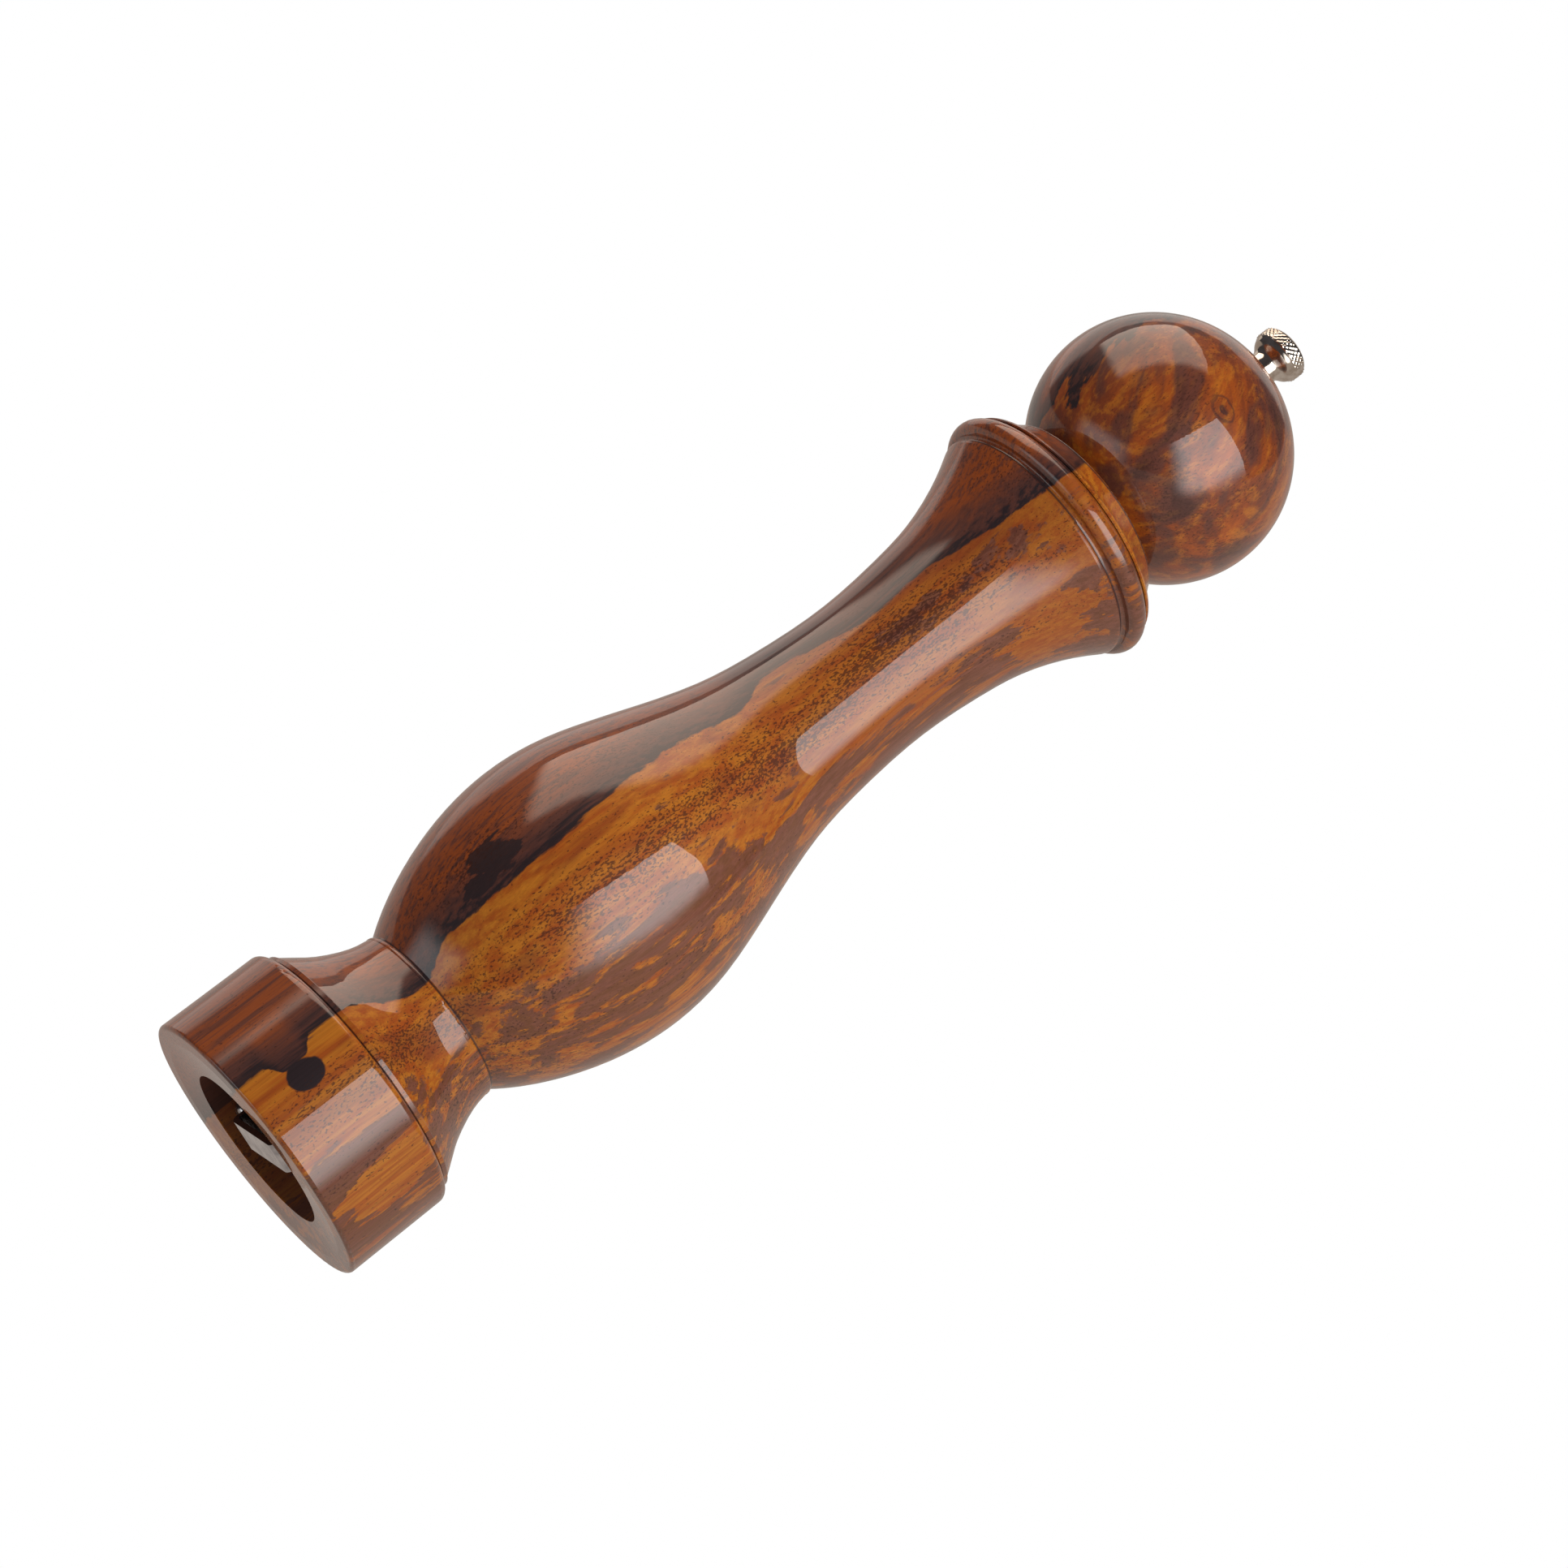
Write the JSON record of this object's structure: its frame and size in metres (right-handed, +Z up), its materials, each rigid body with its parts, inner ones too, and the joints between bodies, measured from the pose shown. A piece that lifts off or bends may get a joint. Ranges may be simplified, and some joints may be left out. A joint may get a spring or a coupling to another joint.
{
  "type": "pepper mill",
  "caption": "Tall turned wooden pepper mill: bulb body, slender waist, ball head that turns, knurled metal adjusting knob, burr grinder in the base.",
  "frame": {"origin": "centre of the circle that the mill stands on", "axes": "+Z up along the turning axis, towards the knob; -Y is the side that the reference view faces"},
  "size_m": [0.0712, 0.0712, 0.3172],
  "materials": {
    "body_wood": "high-gloss clear lacquer over figured rosewood-like grain",
    "head_wood": "high-gloss clear lacquer over figured rosewood-like grain",
    "knob_metal": "bright nickel plate",
    "shaft_metal": "extruded aluminium",
    "plate_metal": "zinc-plated steel",
    "screw_metal": "bright zinc-plated steel",
    "bar_metal": "bright plated steel strip",
    "burr_metal": "hardened sintered steel",
    "spring_metal": "drawn spring wire"
  },
  "bodies": {
    "base": {"mill_body": "body_wood", "stator": "burr_metal", "retaining_bar": "bar_metal", "bar_screw_front": "screw_metal", "bar_screw_rear": "screw_metal"},
    "spring_set": {"spring": "spring_metal", "thrust_washer": "plate_metal"},
    "head": {"mill_head": "head_wood", "drive_plate": "plate_metal", "plate_screw_left": "screw_metal", "plate_screw_right": "screw_metal", "knob_washer": "knob_metal"},
    "drive": {"drive_shaft": "shaft_metal", "rotor": "burr_metal", "rotor_washer": "plate_metal"},
    "knob": {"knob_nut": "knob_metal"}
  },
  "joints": [
    {"name": "head_turn", "type": "hinge", "parent": "base", "child": "spring_set", "pos_m": [0, 0, 0.022], "axis": [0, 0, 1], "continuous": true},
    {"name": "grind_adjust", "type": "slide", "parent": "spring_set", "child": "drive", "axis": [0, 0, 1], "range_m": [-0.0008, 0.0008], "deforming": ["spring"]},
    {"name": "head_lift", "type": "slide", "parent": "spring_set", "child": "head", "axis": [0, 0, 1], "range_m": [0, 0.095]},
    {"name": "knob_turn", "type": "hinge", "parent": "head", "child": "knob", "pos_m": [0, 0, 0.3052], "axis": [0, 0, 1], "range_deg": [-360, 360]}
  ],
  "couplings": [
    {"joint": "knob_turn", "follows": "grind_adjust", "rad_per_m": -7854}
  ]
}
